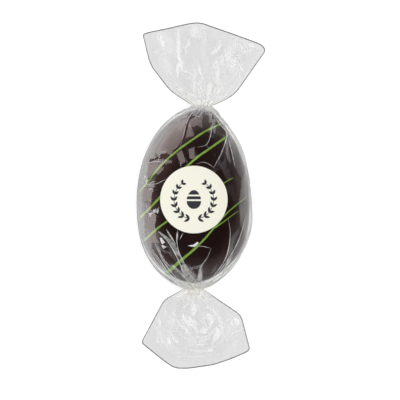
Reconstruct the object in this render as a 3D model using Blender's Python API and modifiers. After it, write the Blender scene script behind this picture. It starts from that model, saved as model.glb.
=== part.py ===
"""A marzipan egg coated in dark chocolate, in a clear film wrap that is twisted shut at both ends.

Metres, +Z up. The egg lies on its side, as the wrap does on a table. +Y runs along it towards the
egg's pointed end, +X to its right, and the origin is at the middle of the flat spot that it rests on.
The film hides nothing and holds the egg tight, so film and egg are one solid, the wrapper. The
drizzled icing shows through the film as low ridges. A round paper label is stuck on top.
"""

import math

import bmesh
import bpy
from mathutils import Vector

# The wrapped egg: two half ellipsoids of unlike length that meet at the belly, where Y is 0.
BELLY_HALF_WIDTH = 0.0254
BELLY_HALF_HEIGHT = 0.0204
POINTED_LENGTH = 0.0434
BLUNT_LENGTH = 0.0366
AXIS_HEIGHT = 0.0188  # the egg's axis over the table; the flat spot is 1.6 mm deep
NECK_HALF_WIDTH = 0.0036
NECK_HALF_HEIGHT = 0.0034
NECK_LEAN = 7  # how late the egg's middle line bends over to a neck: a power of the share of its length

# Pleats of gathered film, deepest just short of each neck.
PLEATS = 11
PLEAT_DEPTH = 0.0010
PLEAT_WINDING = math.radians(40)  # how far round the egg a pleat has turned at the neck
PLEAT_START = 0.45  # share of the half length at which they begin

# How finely the wrap is drawn.
POINTS_AROUND = 66
BODY_SECTIONS = 14  # in each half of the egg
TAIL_SECTIONS = 9  # in each tail

# The drizzle: where each run crosses the egg as seen from above, how far its middle bows towards
# the pointed end, and how thick it is.
DRIZZLE_RUNS = (
    (Vector((0.0138, 0.0370)), Vector((-0.0240, 0.0066)), 0.0013, 0.00075),
    (Vector((0.0180, 0.0330)), Vector((-0.0250, -0.0074)), 0.0004, 0.00075),
    (Vector((0.0240, 0.0163)), Vector((-0.0240, -0.0172)), 0.0002, 0.00070),
    (Vector((0.0240, 0.0047)), Vector((-0.0142, -0.0318)), -0.0008, 0.00090),
)
DRIZZLE_SPACING = 0.0022  # between the points of a run
DRIZZLE_SUNK = 0.35  # share of its radius that the icing's centre lies under the film

LABEL_MIDDLE = Vector((0.0001, 0.0024))
LABEL_RADIUS = 0.015
LABEL_THICKNESS = 0.0003
LABEL_GAP = 0.0003
LABEL_RINGS = 5
LABEL_SPOKES = 44

CUTTER_SIZE = 0.4


class Tail:
    """One flared end of the film, from its neck to its cut edge, as seen from above."""

    def __init__(self, neck, left, right, cut, droop, waves, wave_height, thickness):
        self.neck = neck  # the middle of the pinch
        self.left = left  # the folded side from the neck to the corner, at -X
        self.right = right  # the same at +X
        self.cut = cut  # the cut edge between the two corners
        self.droop = droop  # how far the cut edge hangs under the neck
        self.waves = waves
        self.wave_height = wave_height
        self.thickness = thickness  # between the two films, halfway out


def points(*pairs_mm):
    """Points seen from above, given in millimetres."""
    return [Vector(pair) / 1000 for pair in pairs_mm]


POINTED_TAIL = Tail(
    neck=0.0038,
    left=points((0.2, 43.4), (-8.3, 48.5), (-18.9, 61.0), (-22.2, 74.8)),
    right=points((7.4, 43.4), (18.1, 48.6), (31.3, 67.0)),
    cut=points((-22.2, 74.8), (-1.0, 79.9), (3.5, 79.9), (27.3, 71.8), (30.3, 70.2), (31.3, 67.0)),
    droop=0.0045,
    waves=3.5,
    wave_height=0.0020,
    thickness=0.0055,
)
BLUNT_TAIL = Tail(
    neck=-0.0001,
    left=points((-3.7, -36.6), (-12.8, -41.3), (-23.1, -59.6)),
    right=points((3.5, -36.6), (20.6, -48.7), (24.7, -62.6)),
    cut=points((-23.1, -59.6), (-9.2, -71.7), (-2.3, -71.8), (10.5, -70.1), (23.0, -65.2), (24.7, -62.6)),
    droop=0.0055,
    waves=2.5,
    wave_height=0.0024,
    thickness=0.0065,
)


def along(line, share):
    """The point at this share of a broken line's length."""
    lengths = [(b - a).length for a, b in zip(line, line[1:])]
    left_over = share * sum(lengths)
    for a, b, length in zip(line, line[1:], lengths):
        if left_over <= length:
            return a.lerp(b, left_over / length)
        left_over -= length
    return line[-1].copy()


def smooth_step(share):
    """From 0 to 1 with level ends."""
    share = min(max(share, 0.0), 1.0)
    return share * share * (3 - 2 * share)


def half_of_egg(y):
    """The length of the half that y lies in, and its tail."""
    return (POINTED_LENGTH, POINTED_TAIL) if y >= 0 else (BLUNT_LENGTH, BLUNT_TAIL)


def pleat(film_angle, share):
    """How far the gathered film stands out. The film's own angle stays the same along a pleat."""
    depth = PLEAT_DEPTH * smooth_step((share - PLEAT_START) / (1 - PLEAT_START))
    return depth * math.cos(PLEATS * film_angle)


def winding(y):
    """How far the pleats have turned round the egg's axis here."""
    length, _ = half_of_egg(y)
    return PLEAT_WINDING * (y / length) ** 4


def body_height(share):
    """Half the wrap's height at this share of the way from the belly to a neck."""
    egg = BELLY_HALF_HEIGHT * math.sqrt(max(1 - share * share, 0))
    return math.hypot(egg, NECK_HALF_HEIGHT * share**2)


def body_sides(y):
    """The x of the wrap's two sides."""
    length, tail = half_of_egg(y)
    share = min(abs(y) / length, 1.0)
    egg = BELLY_HALF_WIDTH * math.sqrt(1 - share * share)
    half_width = math.hypot(egg, NECK_HALF_WIDTH * share**2)
    middle = tail.neck * share**NECK_LEAN
    return middle - half_width, middle + half_width


def body_point(film_angle, y):
    """A point on the wrapped egg. Angles start at +X and climb over the top."""
    length, _ = half_of_egg(y)
    share = abs(y) / length
    left, right = body_sides(y)
    out = pleat(film_angle, share)
    angle = film_angle - winding(y)
    x = (left + right) / 2 + ((right - left) / 2 + out) * math.cos(angle)
    z = AXIS_HEIGHT + (body_height(share) + out) * math.sin(angle)
    return Vector((x, y, z))


def tail_point(tail, film_angle, share):
    """A point on a tail, at this share of the way from its neck to its cut edge."""
    unwound = smooth_step(3 * share)
    angle = (film_angle - PLEAT_WINDING * (1 - unwound)) % (2 * math.pi)
    round_width = (1 + math.cos(angle)) / 2
    turn = angle if angle <= math.pi else 2 * math.pi - angle
    flat_width = 1 - turn / math.pi
    across = round_width + (flat_width - round_width) * smooth_step(2 * share)
    left, right = along(tail.left, share), along(tail.right, share)
    straight_cut = tail.left[-1].lerp(tail.right[-1], across)
    seen = left.lerp(right, across) + share**2 * (along(tail.cut, across) - straight_cut)
    puff = math.sin(math.pi * min(share, 0.8) / 1.6)
    half_height = NECK_HALF_HEIGHT * (1 - share) ** 2 + tail.thickness / 2 * puff * (1 - 0.7 * share)
    wave = tail.wave_height * share * math.sin(2 * math.pi * tail.waves * across + 1)
    middle = AXIS_HEIGHT - tail.droop * share**2 + wave
    gathered = pleat(film_angle, 1) * (1 - unwound)
    return Vector((*seen, middle + (half_height + gathered) * math.sin(angle)))


def wrap_sections():
    """Every ring of points round the wrap, from the blunt tail's cut edge to the pointed one's."""
    angles = [2 * math.pi * i / POINTS_AROUND for i in range(POINTS_AROUND)]
    # Sections crowd towards the necks, as the sine of an even step.
    steps = [math.sin(math.pi / 2 * i / BODY_SECTIONS) for i in range(BODY_SECTIONS + 1)]
    body = [-BLUNT_LENGTH * s for s in reversed(steps[1:])] + [POINTED_LENGTH * s for s in steps]
    outward = [(i / TAIL_SECTIONS) ** 1.2 for i in range(1, TAIL_SECTIONS + 1)]
    sections = [[tail_point(BLUNT_TAIL, a, s) for a in angles] for s in reversed(outward)]
    sections += [[body_point(a, y) for a in angles] for y in body]
    sections += [[tail_point(POINTED_TAIL, a, s) for a in angles] for s in outward]
    return sections


def close_cut_edge(mesh, ring):
    """Faces between the upper and the lower film, along a tail's cut edge."""
    for i in range(POINTS_AROUND // 2):
        corners = [ring[i], ring[i + 1], ring[-i - 1], ring[-i % POINTS_AROUND]]
        mesh.faces.new(list(dict.fromkeys(corners)))


def new_object(name, mesh, collection):
    data = bpy.data.meshes.new(name)
    bmesh.ops.recalc_face_normals(mesh, faces=mesh.faces)
    mesh.to_mesh(data)
    mesh.free()
    made = bpy.data.objects.new(name, data)
    collection.objects.link(made)
    return made


def make_wrap(collection):
    """The film and the egg in it, lofted from tail to tail."""
    mesh = bmesh.new()
    rings = [[mesh.verts.new(p) for p in section] for section in wrap_sections()]
    for ring, following in zip(rings, rings[1:]):
        for i in range(POINTS_AROUND):
            j = (i + 1) % POINTS_AROUND
            mesh.faces.new((ring[i], ring[j], following[j], following[i]))
    close_cut_edge(mesh, rings[0])
    close_cut_edge(mesh, rings[-1])
    return new_object("wrapper", mesh, collection)


def top_of_wrap(seen):
    """The height of the wrap's upper side at a point seen from above."""
    length, _ = half_of_egg(seen.y)
    share = abs(seen.y) / length
    left, right = body_sides(seen.y)
    across = (2 * seen.x - left - right) / (right - left)
    angle = math.acos(min(max(across, -1.0), 1.0))
    return body_point(angle + winding(seen.y), seen.y).z


def drizzle_lines(start, end, bow):
    """A run's points on the film, as one line, or two where the label lies over its middle."""
    side = Vector((-(end - start).y, (end - start).x)).normalized()
    if side.y < 0:
        side.negate()
    count = round((end - start).length / DRIZZLE_SPACING)
    lines = [[]]
    for i in range(count + 1):
        share = i / count
        seen = start.lerp(end, share) + side * bow * 4 * share * (1 - share)
        left, right = body_sides(seen.y)
        on_egg = left + 0.0004 < seen.x < right - 0.0004
        if on_egg and (seen - LABEL_MIDDLE).length > LABEL_RADIUS + 0.0016:
            lines[-1].append(seen)
        elif lines[-1]:
            lines.append([])
    return [line for line in lines if len(line) > 2]


def make_drizzle(line, radius, name, collection):
    """One tube of icing that follows the film, as a mesh that a Boolean can join."""
    curve = bpy.data.curves.new(name, "CURVE")
    curve.dimensions = "3D"
    curve.bevel_depth = radius
    curve.bevel_resolution = 1
    curve.use_fill_caps = True
    spline = curve.splines.new("POLY")
    spline.points.add(len(line) - 1)
    for point, seen in zip(spline.points, line):
        point.co = (seen.x, seen.y, top_of_wrap(seen) - DRIZZLE_SUNK * radius, 1)
    tube = bpy.data.objects.new(name + "_tube", curve)
    collection.objects.link(tube)
    bpy.context.view_layer.update()
    graph = bpy.context.evaluated_depsgraph_get()
    data = bpy.data.meshes.new_from_object(tube.evaluated_get(graph))
    bpy.data.objects.remove(tube)
    mesh = bmesh.new()
    mesh.from_mesh(data)
    bmesh.ops.remove_doubles(mesh, verts=mesh.verts, dist=0.00001)
    return new_object(name, mesh, collection)


def make_label(collection):
    """A paper disc that follows the film, a little clear of it."""
    mesh = bmesh.new()
    rings = []
    for ring in range(1, LABEL_RINGS + 1):
        radius = LABEL_RADIUS * ring / LABEL_RINGS
        turns = (2 * math.pi * i / LABEL_SPOKES for i in range(LABEL_SPOKES))
        seen = [LABEL_MIDDLE + radius * Vector((math.cos(t), math.sin(t))) for t in turns]
        rings.append([mesh.verts.new((*p, top_of_wrap(p) + LABEL_GAP)) for p in seen])
    middle = mesh.verts.new((*LABEL_MIDDLE, top_of_wrap(LABEL_MIDDLE) + LABEL_GAP))
    for i in range(LABEL_SPOKES):
        j = (i + 1) % LABEL_SPOKES
        mesh.faces.new((middle, rings[0][i], rings[0][j]))
        for inner, outer in zip(rings, rings[1:]):
            mesh.faces.new((inner[i], outer[i], outer[j], inner[j]))
    label = new_object("label", mesh, collection)
    paper = label.modifiers.new("paper", "SOLIDIFY")
    paper.thickness = LABEL_THICKNESS
    paper.offset = 1
    return label


def make_table_cutter(collection):
    """Everything under the table, which the egg's flat spot is cut by."""
    mesh = bmesh.new()
    bmesh.ops.create_cube(mesh, size=CUTTER_SIZE)
    cutter = new_object("table_cutter", mesh, collection)
    cutter.location.z = -CUTTER_SIZE / 2
    cutter.hide_render = True
    cutter.display_type = "WIRE"
    return cutter


def apply_modifiers(made):
    bpy.context.view_layer.update()
    graph = bpy.context.evaluated_depsgraph_get()
    data = bpy.data.meshes.new_from_object(made.evaluated_get(graph))
    made.modifiers.clear()
    made.data = data


def finish_surface(made, colour, roughness, smooth_angle):
    """The piece's own material, and smooth shading with sharp edges over this angle."""
    material = bpy.data.materials.new(made.name)
    material.use_nodes = True
    shader = material.node_tree.nodes["Principled BSDF"]
    shader.inputs["Base Color"].default_value = (*colour, 1)
    shader.inputs["Roughness"].default_value = roughness
    shader.inputs["Metallic"].default_value = 0
    made.data.materials.clear()
    made.data.materials.append(material)
    made.data.shade_smooth()
    made.data.set_sharp_from_angle(angle=smooth_angle)


def main():
    for existing in list(bpy.data.objects):
        bpy.data.objects.remove(existing)
    parts = bpy.data.collections.new("wrapped_marzipan_egg")
    cutters = bpy.data.collections.new("cutters")
    icing = bpy.data.collections.new("icing")
    for collection in (parts, cutters, icing):
        bpy.context.scene.collection.children.link(collection)

    wrap = make_wrap(parts)
    flat_spot = wrap.modifiers.new("flat_spot", "BOOLEAN")
    flat_spot.operation = "DIFFERENCE"
    flat_spot.object = make_table_cutter(cutters)
    apply_modifiers(wrap)

    for number, (start, end, bow, radius) in enumerate(DRIZZLE_RUNS):
        for part, line in enumerate(drizzle_lines(start, end, bow)):
            make_drizzle(line, radius, f"drizzle_{number}_{part}", icing)
    ridges = wrap.modifiers.new("ridges", "BOOLEAN")
    ridges.operation = "UNION"
    ridges.operand_type = "COLLECTION"
    ridges.collection = icing
    apply_modifiers(wrap)
    for piece in list(icing.objects) + list(cutters.objects):
        bpy.data.objects.remove(piece)

    finish_surface(wrap, (0.035, 0.016, 0.013), 0.25, math.radians(40))
    finish_surface(make_label(parts), (0.91, 0.89, 0.77), 0.6, math.radians(40))


main()
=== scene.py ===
"""A marzipan egg in dark chocolate, drizzled with green icing and wrapped in clear film.

The egg lies on its side with its label up and its pointed end towards +Y. Shapes are worked out in
millimetres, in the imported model's own frame, and new_piece() turns them to metres.
"""

import itertools
import math
from types import SimpleNamespace

import bmesh
import bpy
import numpy as np
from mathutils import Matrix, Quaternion, Vector
from mathutils.bvhtree import BVHTree


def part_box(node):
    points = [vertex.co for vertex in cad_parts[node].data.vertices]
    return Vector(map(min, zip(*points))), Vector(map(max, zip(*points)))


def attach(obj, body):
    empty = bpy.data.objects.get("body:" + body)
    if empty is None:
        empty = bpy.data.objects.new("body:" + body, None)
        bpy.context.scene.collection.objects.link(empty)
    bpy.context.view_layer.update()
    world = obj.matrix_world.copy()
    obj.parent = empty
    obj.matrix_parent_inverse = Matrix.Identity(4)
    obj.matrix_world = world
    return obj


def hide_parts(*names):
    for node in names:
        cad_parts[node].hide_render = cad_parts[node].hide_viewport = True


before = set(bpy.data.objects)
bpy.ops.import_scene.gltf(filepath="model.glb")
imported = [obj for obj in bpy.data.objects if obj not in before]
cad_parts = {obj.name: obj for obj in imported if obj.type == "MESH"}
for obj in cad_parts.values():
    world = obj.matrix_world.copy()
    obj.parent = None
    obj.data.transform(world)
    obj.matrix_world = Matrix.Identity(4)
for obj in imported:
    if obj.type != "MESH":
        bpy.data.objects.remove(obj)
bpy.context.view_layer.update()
MM = 0.001

# The wrap: a blunt and a pointed half that meet at the belly, where y is 0.
AXIS_HEIGHT = 18.8
POINTED_LENGTH = 43.4
BLUNT_LENGTH = 36.6
NECK_HALF_WIDTH = 3.5
NECK_REACH = 5.5  # how far to either side of a neck the film is pressed together
NECK_LEAN = 10  # how late the middle line bends over to a neck: a power of the share of the length
POINTED_FULLNESS, BLUNT_FULLNESS = 2.13, 2.48  # how late each half of the egg starts to taper
TAPER = 0.6  # 0.5 and a fullness of 2 would make an ellipsoid
LABEL_LOW, LABEL_HIGH = (np.array(corner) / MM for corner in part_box("label"))
LABEL_MIDDLE = (LABEL_LOW + LABEL_HIGH)[:2] / 2
LABEL_RADIUS = 14.65
LABEL_THICKNESS = 0.18
LABEL_GAP = 0.25  # between the tight film and the label's underside
LABEL_RINGS, LABEL_SPOKES = 24, 128
INK_HEIGHT = 0.03  # over the paper
WREATH_RADIUS = 8.6
LEAVES = 8  # pairs on each sprig
LEAF_LENGTH = 2.9
LEAF_HALF_WIDTH = 0.55
LEAF_LEAN = 0.65  # radians off the sprig's line
SPRIG_FROM, SPRIG_TO = -78, 52  # degrees round the wreath, upwards from its +X side
PRINTED_BANDS = ((-1.0, -0.16), (0.02, 0.34), (0.52, 1.0))  # of the printed egg, from -1 to 1 up it
STEM_HALF_WIDTH = 0.13
PRINTED_EGG = (3.1, 4.1)  # its half width and half height

# The film.
FILM_HALF_WIDTH = 24.9  # where it is tight; its facets stand proud of that
FILM_HALF_HEIGHT = 19.9
FILM_SIZES = (FILM_HALF_WIDTH, FILM_HALF_HEIGHT, POINTED_LENGTH, BLUNT_LENGTH)
SHOULDERS = 2.35  # how square the film stands on its -X side: 2 would be round
ROWS_POINTED = 100
ROWS_BLUNT = 86
ROWS_TAIL = 80
TAIL_SHARES = (np.arange(1, ROWS_TAIL + 1) / ROWS_TAIL) ** 1.1  # where they lie, from neck to cut edge
POINTS_AROUND = 280
POINTS_ON_TOP = 180  # of them
FACET_ROWS = (-78, -56, -32, -8, 16, 38, 58, 76)  # degrees towards the pointed end
FACETS_ROUND = 9
EDGE_SHARPNESS = 260  # of the bends between facets
TIGHT, LOOSER = 0.12, 0.42  # share of its facets that the film shows on its -X side, and adds on its +X
# How high the small facets in the film stand and how large they are, over the egg and in the flared ends.
COARSE_FACETS, FINE_FACETS = (0.20, (6, 10, 6)), (0.06, (2.2, 3.0, 2.2))
TAIL_COARSE_FACETS, TAIL_FINE_FACETS = (0.45, (9, 12, 9)), (0.05, (3.4, 4.2, 3))
PLEATS, PLEAT_DEPTH = 15, 0.9
PLEAT_WINDING = math.radians(40)  # how far round the egg a pleat has turned at the neck
CALM_ANGLE = math.radians(150)  # round this side of the pointed end the pleats stay close to the neck
CALM_SHARE = 0.75  # by how much of the way
FACET_BEND = 0.6  # how wide the bend is at the edges of a flat facet
DEEPEST_FACET, HIGHEST_FACET = 0.8, 1.2  # how far a flat facet may leave the rest of the film
FLAT_PAST_LABEL, FREEING_PAST_LABEL = 0.5, 3  # the film is flat this far past the label, then eases
FILM_LOWEST, EGG_LOWEST = 0.05, 0.4  # over the table, where each settles on a flat spot
TAIL_FOLDS, TAIL_FOLD_HEIGHT = 6, 0.4
FOLD_CLEARANCE = 0.03  # between the film and a fold that is laid on it
CREASE_HEIGHT, TAIL_CREASE_HEIGHT, WRINKLE_HEIGHT = 1.3, 0.35, 0.45  # as shares of half their width
TAIL_CREASE_WIDENING = 1.8  # of the widths in TAIL_CREASES
EDGE_RADIUS = 0.24  # of the fine line along the film's edges
# Towards its +X side the film clings to the chocolate: which way that is, how far out the film starts to
# cling, and how far out all of it does.
CLINGING_WAY = (1.0, -0.25, 0.0)
CLINGING_FROM, CLINGING_ALL = 3, 15
# The film is smooth up to the first of these distances from the belly and crumpled from the second.
SMOOTH_UP_TO, CRUMPLED_FROM = 33, 46

# Creases in the film over the egg: points as seen from above, from the neck that each runs out of,
# how far the film slopes down from it on its -X and its +X side, its height, and half the width of
# the sharp fold on top.
CREASES = (
    (((6.5, 41.9), (7.7, 38.4), (8.1, 34.7), (7.1, 29.3), (5.3, 26.1), (1.3, 25)), 0.8, 1.6, 0.5, 0.17),
    (((8.7, 39.6), (11.6, 35), (14.5, 31), (12.2, 23), (8.7, 16.1)), 1.5, 2.4, 0.7, 0.25),
    (((14.5, 31), (16.5, 23.6), (18.2, 15.5)), 1.2, 2.2, 0.6, 0.22),
    (((12.2, 37.3), (16.8, 31.6), (20.8, 24.1), (23.1, 16.1)), 0.9, 1.4, 0.5, 0.19),
    (((3.6, 42.5), (1.5, 40), (-1, 38.6)), 1.4, 0.7, 0.5, 0.19),
    (((1, 42.6), (-2.7, 36.7), (-4.7, 29.3), (-5.9, 25.3)), 3, 0.7, 0.8, 0.16),
    (((0.2, 43), (-6.7, 40.7), (-13.6, 33.3), (-18.2, 25.3), (-22.2, 13.8)), 0.9, 0.9, 0.4, 0.14),
    (((-11.6, 17.6), (-14.2, 18.9), (-20.2, 17.8), (-20.8, 11.5)), 0.7, 0.7, 0.1, 0.16),
    (((-11.6, 11.5), (-16.4, 9.2), (-21.6, 8.7)), 0.8, 0.8, 0.5, 0.20),
    (((5.9, -34.3), (12.2, -26.3), (14.8, -20.5), (15.9, -12.5), (15, -5.6)), 1, 2, 0.45, 0.25),
    (((7.5, -34), (15.9, -22.2), (20.2, -13.7), (23, -3.4)), 0.9, 1.4, 0.35, 0.21),
    (((1.9, -35.4), (2.4, -32), (3.3, -26.8), (5.9, -22.8), (7.6, -18.8)), 0.6, 0.6, 0.3, 0.2),
    (((7.6, -18.8), (4.2, -18), (0.7, -17.7)), 0.7, 0.7, 0.4, 0.15),
    (((-2.7, -34.3), (-5.6, -26.3), (-8.4, -20.5), (-11.9, -14.8), (-15.6, -11.4)), 1.6, 0.9, 0.6, 0.25),
    (((-1, -32), (-3.9, -25.7), (-6.7, -19.4), (-7.6, -11.9)), 1.5, 0.9, 0.6, 0.25),
    (((-7.6, -17.4), (-9.7, -13.9), (-11.1, -11.8), (-11.9, -10.4)), 0.8, 0.8, 0.5, 0.36),
    (((-7.4, -16), (-7.1, -13.4), (-6.9, -10.9)), 0.6, 0.6, 0.2, 0.45),
    (((-6.1, -15), (-5.3, -13.5), (-4.6, -12.1)), 0.5, 0.5, 0.2, 0.24),
    (((1.2, 17.9), (4.2, 18.6), (6.9, 17.6), (9.2, 15.8)), 0.5, 0.5, 0.1, 0.17),
    (((-0.3, 39.8), (1.7, 38.5), (2.9, 39.1), (3.4, 40.8)), 0.5, 0.5, 0.2, 0.2),
    (((-14.9, -0.9), (-16.4, -2.6), (-18.6, -4.2), (-20.2, -5.6)), 0.6, 0.6, 0.2, 0.3),
    (((-5, -34.8), (-10.7, -29.7), (-14.7, -24), (-18.5, -18.2)), 1, 0.7, 0.5, 0.20),
    (((-3.3, -35.4), (-8.4, -30.8), (-13.6, -24), (-14.7, -18.8)), 1, 0.7, 0.5, 0.19),
)
# Directions that flat facets of the film mirror: angles from straight up and from +X, in degrees.
HIGH_WINDOW, NARROW_WINDOW, LOW_WINDOW = (62, 138), (72, 157), (83, 190)
DARK_CEILING, DARK_CORNER = (50, 183), (50, 226)
# The facets that stand out: corners as seen from above, and what each one mirrors.
FLAT_FACETS = (
    (((-20.4, 18.2), (-16.5, 19), (-12.4, 18.4), (-14.6, 15.6), (-20.4, 9.8)), NARROW_WINDOW),
    (((-22.5, 8.2), (-16.1, 8.1), (-18.9, 1), (-22.8, 1)), LOW_WINDOW),
    (((-22, -4), (-15, -2.3), (-16.5, -10.2), (-21.6, -11)), LOW_WINDOW),
    (((-8.2, 23.4), (-5.4, 24.2), (-2.6, 18.2), (-5.4, 16.6)), HIGH_WINDOW),
    (((-3.2, 25.6), (0.6, 25.2), (1.2, 19.8), (-1.8, 19.2)), HIGH_WINDOW),
    (((-20, 18.8), (-19.8, 20.4), (-15, 20.9), (-15, 19.2)), DARK_CEILING),
    (((-15, 19.2), (-14.6, 22.6), (-12, 23.2), (-9, 20.6), (-8.6, 19)), DARK_CEILING),
    (((-15, -20), (-10.6, -20.6), (-8, -25.6), (-11.2, -27.2)), DARK_CORNER),
)

# Painted glints: white plates where the film would glint; corners as seen from above and how white they are.
PAINTED_GLINT_PLATES = (
    (((-2.8, -17.6), (-0.2, -17.25), (1.7, -15.9), (2.4, -16.3), (0.6, -18.2), (-1.2, -18.1)), 1.8),
    (((-14.9, -14.1), (-14.1, -14), (-12.4, -16.3), (-13.8, -17.2)), 1.7),
    (((-14, -17.6), (-13.5, -17.3), (-11.6, -18.2), (-13.2, -19.1)), 1.6),
    (
        ((-16, -10.6), (-12.6, -12.8), (-10, -14.8), (-7.2, -18.4), (-5.4, -22.6), (-7.4, -22.8),
         (-9.8, -18.2), (-12.2, -15.1), (-15, -12.2)),
        0.46,
    ),
    (((-6, -26), (-3.5, -25.2), (-2, -27.6), (-0.8, -30.3), (0.8, -32.8), (-2, -33.4), (-5.1, -30.9)), 0.5),
    (((3.4, -25.2), (3.9, -29), (3.7, -33), (1.3, -33), (2.2, -28)), 0.5),
    (((-2, -27.2), (3, -26), (3.2, -27.2), (-1.6, -28.4)), 0.26),
    (((-19.6, -3.7), (-18, -3.1), (-18.9, -5.3)), 1),
    (((-17.7, -2.3), (-16.3, -1.4), (-17, -3.4)), 1),
    (((-16.3, -2.9), (-15, -1.7), (-15.6, -3.9)), 0.9),
    (((-21.8, 12.4), (-20.6, 12.9), (-21.2, 11)), 1.2),
    (((-21.1, 10.7), (-19.8, 11.1), (-20.4, 9.3)), 1),
    (((-19.3, 7.4), (-18, 7.5), (-18.9, 5.7)), 0.6),
)

# The longest pleats: towards which end (1 is pointed), angle round the egg from +X over the top, how
# much of the half length they reach back over the egg, half width and height.
LONG_PLEATS = (
    (1, 78, 0.26, 0.9, 0.5),
    (1, 60, 0.36, 1.2, 0.6),
    (1, 35, 0.45, 1.2, 0.6),
    (-1, 142, 0.45, 1.3, 0.6),
    (-1, 128, 0.40, 1.6, 0.8),
    (-1, 114, 0.50, 1.8, 0.9),
    (-1, 100, 0.34, 1.3, 0.7),
    (-1, 72, 0.36, 1.3, 0.7),
    (-1, 52, 0.42, 1.6, 0.8),
    (-1, 34, 0.50, 1.5, 0.7),
)
# The other flaps of gathered film: what share of them is short, how much of the half length short and
# long ones reach back over the egg, and how much at most where the pleats stay close to the neck. The
# spans are of their half width, their height and how far they reach into the flared end, as a share.
SHORT_FLAPS, SHORT_REACH, LONG_REACH, CALM_REACH = 0.7, (0.04, 0.16), (0.2, 0.35), 0.08
FLAP_SPANS = ((0.6, 1.3), (0.35, 0.9), (0.1, 0.3))
LONG_PLEATS_INTO_TAIL = 0.2

# How white the wrinkles are painted: a painted highlight along each.
WRINKLE_PAINTED_HIGHLIGHT = 0.6
WRINKLE_LENGTHS, WRINKLE_HALF_WIDTHS = (1.8, 6.5), (0.35, 0.75)
# Creases in the two flared ends: points as seen from above, half width and how white they are. The white
# along each is a painted highlight.
TAIL_CREASES = (
    (((-6.6, 77.7), (-6.8, 67.6), (-6, 62.5), (-5.2, 58.6)), 0.62, 1.5),
    (((-6.2, 63.2), (-7.1, 59.4), (-6.9, 56)), 0.6, 1.5),
    (((-5.2, 64.6), (-5.2, 61.6), (-5, 58.6)), 0.45, 0.9),
    (((-14.6, 74.8), (-13.8, 71.8), (-12.2, 68.8)), 0.6, 1.5),
    (((-18.5, 66.6), (-16.6, 67.2), (-14.2, 66.8)), 0.4, 0.7),
    (((-0.4, 79.2), (0.2, 76.6), (0, 73.8)), 1.5, 0.8),
    (((-2.4, 73.5), (-2.4, 70.6), (-3.8, 68.4)), 0.6, 0.7),
    (((12.4, 70.6), (9.6, 67.8), (7.3, 66)), 0.5, 1.3),
    (((-0.1, 47.6), (0.2, 52), (0.8, 60.5)), 0.4, 0.9),
    (((4.6, 54.3), (2.8, 58.4), (2.2, 62.6)), 0.45, 0.8),
    (((10.8, 50.8), (10.4, 55), (10.6, 64)), 0.8, 0.8),
    (((8, 47.8), (10.6, 49.6), (12.2, 52)), 0.5, 0.9),
    (((11, 65.2), (12.6, 64.4), (12.2, 61.6), (10.4, 60.6)), 0.8, 0.8),
    (((13.6, 68.2), (14.8, 64.8), (16.4, 61.2)), 0.55, 1.5),
    (((18.6, 65), (17.6, 62.4), (16.6, 59.4)), 0.6, 1.3),
    (((20.4, 69), (22.6, 67.4), (25.6, 66.8)), 0.5, 0.7),
    (((24, 70.6), (26.6, 69.6)), 0.55, 1.6),
    (((4.2, 47.6), (3.4, 50.6), (2.8, 53.6)), 0.4, 0.8),
    (((-4.9, -47.2), (-4.2, -50), (-1.2, -52.3), (0.8, -53.4), (1.4, -56.4)), 0.65, 1.7),
    (((-2.9, -48.4), (-0.6, -50.8), (1.8, -51.6)), 0.5, 1.6),
    (((-0.4, -43), (0.3, -45.6), (-0.3, -48.6)), 0.8, 1.8),
    (((-7.6, -48.2), (-6.6, -52), (-2.6, -55.2), (-0.2, -57.4)), 0.4, 0.8),
    (((4.4, -42.6), (8.4, -45.8), (11.2, -49.8), (12.6, -54.8), (9.8, -59.8)), 0.5, 0.8),
    (((5.9, -47.2), (7.2, -49.4), (8.5, -52)), 0.75, 1.8),
    (((9.8, -53.4), (10.5, -56.2), (8.8, -59.8)), 0.95, 1.8),
    (((0.6, -40), (-0.6, -43.6), (0.5, -47.4)), 0.5, 0.9),
    (((3, -55.5), (4.6, -55.1), (6.2, -54.5)), 0.85, 2.2),
    (((6.8, -44.4), (9, -46.4)), 0.6, 1.8),
    (((0.2, -60.6), (3.4, -61.4), (6.6, -60.2)), 0.4, 0.8),
    (((-2.8, -63.8), (3.2, -64.2), (8.6, -63.6)), 0.4, 0.7),
    (((-5.8, -67), (2.4, -66.6), (11.2, -65.2)), 0.3, 0.5),
    (((5.6, -63.9), (8.8, -63.6)), 0.5, 1.7),
    (((-11.2, -57.6), (-10.2, -61.8)), 0.6, 1.4),
    (((-10.2, -56.4), (-8.2, -59), (-6.4, -61.8)), 0.5, 0.8),
    (((-13, -43.8), (-12.4, -46.6), (-12.4, -49.4)), 0.4, 0.6),
    (((17.4, -49.4), (18.8, -50.6), (19.9, -53)), 0.7, 1.5),
    (((16, -49.8), (16.6, -52), (18, -53.6)), 0.5, 0.8),
    (((-15.6, -49.4), (-14.4, -53.2)), 0.5, 0.8),
    (((15.6, -57.2), (18.4, -55.8), (21.6, -54.6)), 0.4, 0.7),
)
# Wrinkles scattered over the flared ends: middle and reach of the patch, how many, how much they
# swirl round its middle instead of running away from the neck, and a seed.
WRINKLE_PATCHES = (
    ((3, 60), (20, 15), 18, 0.15, 41),
    ((17.5, 64.5), (9, 6.5), 26, 0.8, 42),
    ((4, 50), (6, 5), 14, 0, 43),
    ((2, -52), (10, 9), 34, 1, 51),
    ((0.5, -57), (21, 12), 18, 0.7, 52),
    ((0, -42), (5, 4), 12, 0, 53),
)

# Painted highlights: white streaks along the fine lines that crumpling left in the flared ends. The
# point that they run out from or swirl round, and how many of them cross a radian round it and a
# millimetre away from it.
PINCH, FLOW_ROUND_PINCH = (3.8, 40.0), (5.0, 0.05)
SWIRL, FLOW_ROUND_SWIRL = (1.5, -52.0), (0.8, 0.22)

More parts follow.
